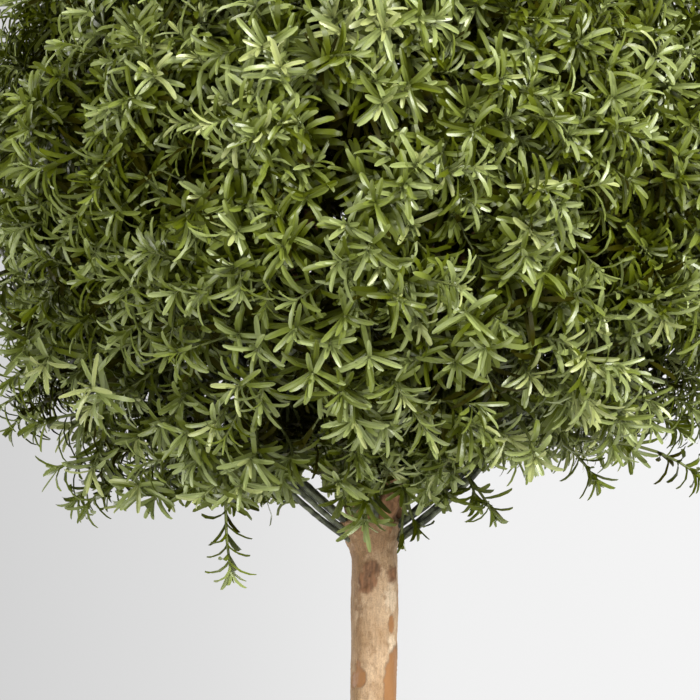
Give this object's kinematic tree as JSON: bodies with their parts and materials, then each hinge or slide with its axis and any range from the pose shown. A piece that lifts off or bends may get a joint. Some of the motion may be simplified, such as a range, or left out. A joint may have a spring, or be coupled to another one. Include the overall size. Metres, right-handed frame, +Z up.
{
  "type": "artificial ball topiary",
  "caption": "Artificial topiary: a dense ball of narrow evergreen leaves on a bare wooden pole, standing in a plain filled clay pot.",
  "frame": {"origin": "middle of the flat underside of the pot, on the ground", "axes": "+Z up along the trunk; the front of the plant faces -Y; +X to the right seen from the front"},
  "size_m": [0.4948, 0.4918, 1.1925],
  "materials": {
    "clay": "matt fired clay, unglazed",
    "compost": "dark brown crumbly surface on a cast fill",
    "bark": "pale mottled bark with smooth orange-brown patches",
    "stem": "dark grey-green moulded stem",
    "leaf": "glossy mid green leaves, lighter at the tips"
  },
  "bodies": {
    "root": {"pot": "clay", "potting_fill": "compost", "trunk": "bark", "bough_leader": "bark", "bough_upper_right": "bark", "bough_upper_back": "bark", "bough_upper_left": "bark", "bough_upper_front_left": "bark", "bough_upper_front_right": "bark", "bough_lower_back_right": "stem", "bough_lower_back_left": "stem", "bough_lower_left": "stem", "bough_lower_front": "stem", "bough_lower_right": "stem", "foliage_crown": "leaf", "foliage_upper_right": "leaf", "foliage_upper_back": "leaf", "foliage_upper_left": "leaf", "foliage_upper_front_left": "leaf", "foliage_upper_front_right": "leaf", "foliage_lower_back_right": "leaf", "foliage_lower_back_left": "leaf", "foliage_lower_left": "leaf", "foliage_lower_front": "leaf", "foliage_lower_right": "leaf"}
  },
  "joints": []
}
